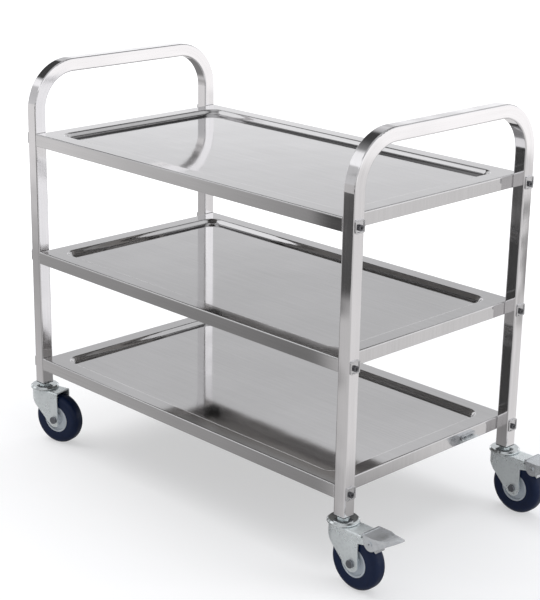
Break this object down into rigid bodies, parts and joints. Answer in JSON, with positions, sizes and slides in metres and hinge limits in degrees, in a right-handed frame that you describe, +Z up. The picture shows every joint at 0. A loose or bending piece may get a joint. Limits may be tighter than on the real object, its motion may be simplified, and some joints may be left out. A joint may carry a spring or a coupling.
{
  "type": "food trolley",
  "caption": "Three-tier stainless serving trolley with bent tube end handles, pressed recessed trays and swivel casters, braked at one end.",
  "frame": {"origin": "on the floor under the middle of the whole trolley, casters and brake pedals included", "axes": "+X along the length towards the end with the braked casters, +Y across the width, +Z up"},
  "size_m": [0.984, 0.491, 0.766],
  "materials": {
    "steel_tube": "brushed along the tube, semi-bright",
    "steel_sheet": "brushed along the length, semi-bright",
    "steel_inner": "mill finish",
    "steel_pressing": "bright pressing",
    "bolt": "dull, dark in its recess",
    "socket": "moulded",
    "bearing_ball": "polished",
    "zinc_plate": "bright zinc plate",
    "axle_bolt": "zinc plate",
    "hub": "smooth light grey",
    "tyre": "satin blue-black rubber",
    "pedal": "bright zinc plate"
  },
  "bodies": {
    "trolley": {"left_end_frame": "steel_tube", "right_end_frame": "steel_tube", "top_shelf": "steel_sheet", "middle_shelf": "steel_sheet", "bottom_shelf": "steel_sheet", "top_shelf_stiffeners": "steel_inner", "middle_shelf_stiffeners": "steel_inner", "bottom_shelf_stiffeners": "steel_inner", "top_corner_brackets": "steel_inner", "middle_corner_brackets": "steel_inner", "bottom_corner_brackets": "steel_inner", "top_clamp_plates": "steel_pressing", "middle_clamp_plates": "steel_pressing", "bottom_clamp_plates": "steel_pressing", "top_shelf_bolts": "bolt", "middle_shelf_bolts": "bolt", "bottom_shelf_bolts": "bolt", "caster_sockets": "socket", "front_left_stem": "zinc_plate", "front_left_swivel_cup": "zinc_plate", "front_left_swivel_balls": "bearing_ball", "front_right_stem": "zinc_plate", "front_right_swivel_cup": "zinc_plate", "front_right_swivel_balls": "bearing_ball", "rear_left_stem": "zinc_plate", "rear_left_swivel_cup": "zinc_plate", "rear_left_swivel_balls": "bearing_ball", "rear_right_stem": "zinc_plate", "rear_right_swivel_cup": "zinc_plate", "rear_right_swivel_balls": "bearing_ball"},
    "front_left_swivel": {"front_left_fork": "zinc_plate", "front_left_axle": "axle_bolt", "front_left_axle_sleeve": "axle_bolt"},
    "front_left_wheel": {"front_left_hub": "hub", "front_left_tyre": "tyre"},
    "front_right_swivel": {"front_right_fork": "zinc_plate", "front_right_axle": "axle_bolt", "front_right_axle_sleeve": "axle_bolt", "front_right_pedal_pin": "axle_bolt"},
    "front_right_wheel": {"front_right_hub": "hub", "front_right_tyre": "tyre"},
    "front_right_brake": {"front_right_brake_pedal": "pedal"},
    "rear_left_swivel": {"rear_left_fork": "zinc_plate", "rear_left_axle": "axle_bolt", "rear_left_axle_sleeve": "axle_bolt"},
    "rear_left_wheel": {"rear_left_hub": "hub", "rear_left_tyre": "tyre"},
    "rear_right_swivel": {"rear_right_fork": "zinc_plate", "rear_right_axle": "axle_bolt", "rear_right_axle_sleeve": "axle_bolt", "rear_right_pedal_pin": "axle_bolt"},
    "rear_right_wheel": {"rear_right_hub": "hub", "rear_right_tyre": "tyre"},
    "rear_right_brake": {"rear_right_brake_pedal": "pedal"}
  },
  "joints": [
    {"name": "front_left_swivel_turn", "type": "hinge", "parent": "trolley", "child": "front_left_swivel", "pos_m": [-0.464, -0.2175, 0.1095], "axis": [0, 0, 1], "continuous": true},
    {"name": "front_left_wheel_roll", "type": "hinge", "parent": "front_left_swivel", "child": "front_left_wheel", "pos_m": [-0.4281, -0.20855, 0.051], "axis": [-0.2419, 0.9703, 0], "continuous": true},
    {"name": "front_right_swivel_turn", "type": "hinge", "parent": "trolley", "child": "front_right_swivel", "pos_m": [0.361, -0.2175, 0.1095], "axis": [0, 0, 1], "continuous": true},
    {"name": "front_right_wheel_roll", "type": "hinge", "parent": "front_right_swivel", "child": "front_right_wheel", "pos_m": [0.398, -0.2175, 0.051], "axis": [0, 1, 0], "continuous": true},
    {"name": "front_right_brake_press", "type": "hinge", "parent": "front_right_swivel", "child": "front_right_brake", "pos_m": [0.44, -0.2175, 0.1025], "axis": [0, 1, 0], "range_deg": [0, 14]},
    {"name": "rear_left_swivel_turn", "type": "hinge", "parent": "trolley", "child": "rear_left_swivel", "pos_m": [-0.464, 0.2175, 0.1095], "axis": [0, 0, 1], "continuous": true},
    {"name": "rear_left_wheel_roll", "type": "hinge", "parent": "rear_left_swivel", "child": "rear_left_wheel", "pos_m": [-0.427, 0.2175, 0.051], "axis": [0, 1, 0], "continuous": true},
    {"name": "rear_right_swivel_turn", "type": "hinge", "parent": "trolley", "child": "rear_right_swivel", "pos_m": [0.361, 0.2175, 0.1095], "axis": [0, 0, 1], "continuous": true},
    {"name": "rear_right_wheel_roll", "type": "hinge", "parent": "rear_right_swivel", "child": "rear_right_wheel", "pos_m": [0.398, 0.2175, 0.051], "axis": [0, 1, 0], "continuous": true},
    {"name": "rear_right_brake_press", "type": "hinge", "parent": "rear_right_swivel", "child": "rear_right_brake", "pos_m": [0.44, 0.2175, 0.1025], "axis": [0, 1, 0], "range_deg": [0, 14]}
  ]
}
